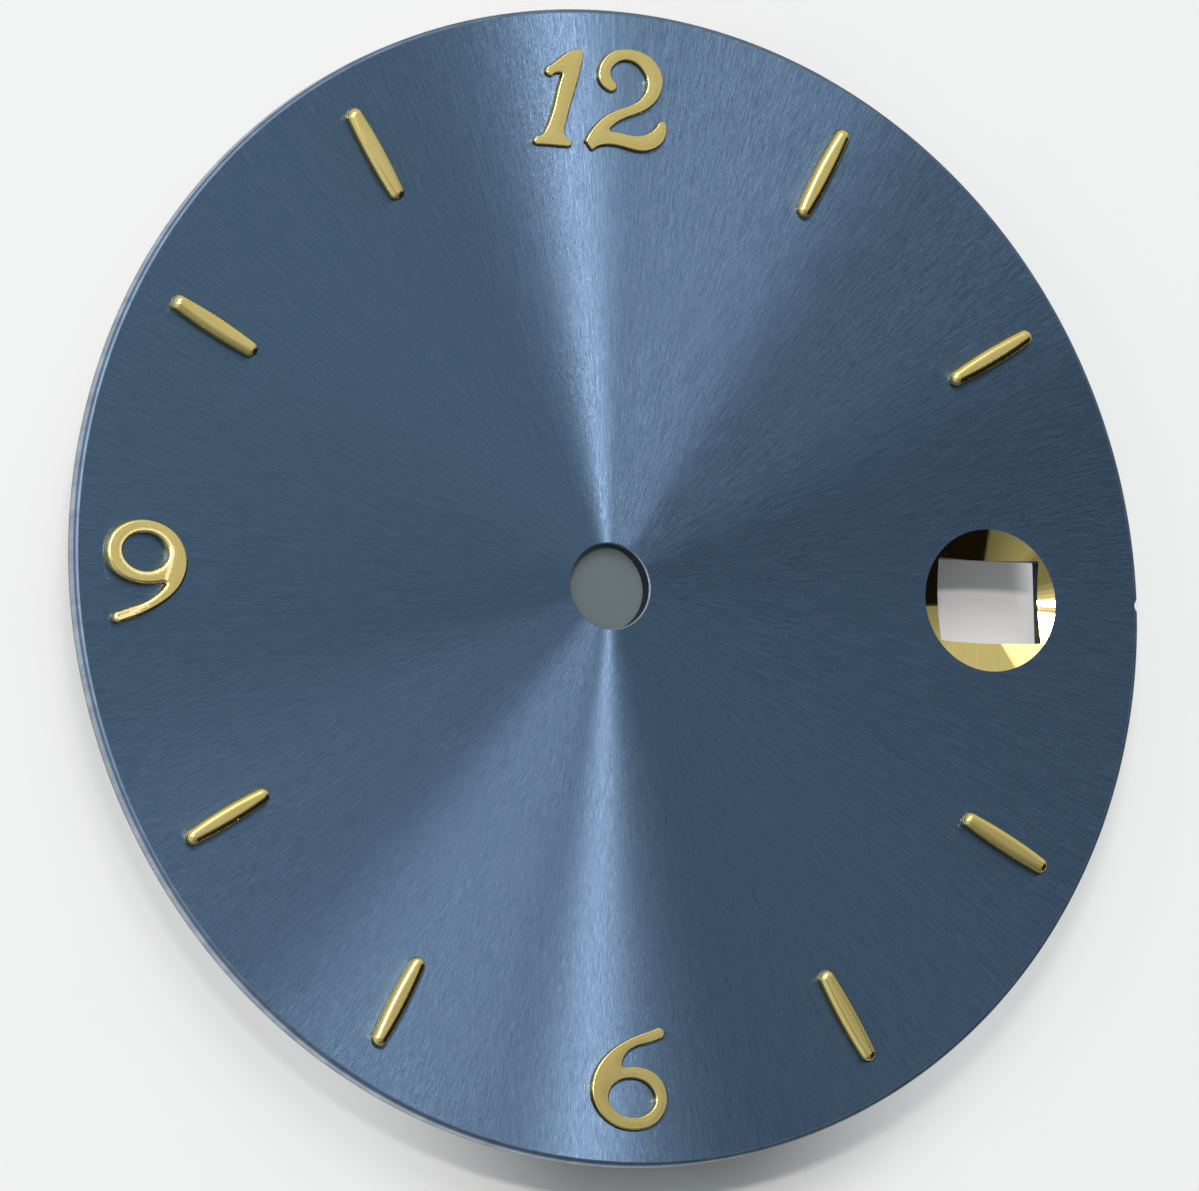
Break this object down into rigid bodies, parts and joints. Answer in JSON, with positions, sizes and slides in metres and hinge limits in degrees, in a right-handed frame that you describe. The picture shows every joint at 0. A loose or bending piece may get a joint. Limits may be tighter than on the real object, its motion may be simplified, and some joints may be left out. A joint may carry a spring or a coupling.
{
  "type": "watch dial",
  "caption": "Thin round wristwatch dial with applied hour bars and italic numerals, a centre bore, a dished date window and dial feet.",
  "frame": {"origin": "on the axis of the centre bore, at the plate's back face, which rests on the movement", "axes": "+Z along the bore out of the front face, +Y towards the twelve, +X towards the three and the date window"},
  "size_m": [0.0284, 0.0284, 0.0029],
  "materials": {
    "plate_blue": "sunburst-brushed blue lacquer, polished gold in the window recess",
    "mark_gold": "gold plated, polished",
    "numeral_gold": "gold plated, satin top and polished edges",
    "foot_copper": "bare drawn copper"
  },
  "bodies": {
    "root": {"dial_plate": "plate_blue", "hour_1_index": "mark_gold", "hour_2_index": "mark_gold", "hour_4_index": "mark_gold", "hour_5_index": "mark_gold", "hour_7_index": "mark_gold", "hour_8_index": "mark_gold", "hour_10_index": "mark_gold", "hour_11_index": "mark_gold", "numeral_12_digit_1": "numeral_gold", "numeral_12_digit_2": "numeral_gold", "numeral_6": "numeral_gold", "numeral_9": "numeral_gold", "dial_foot_a": "foot_copper", "dial_foot_b": "foot_copper"}
  },
  "joints": []
}
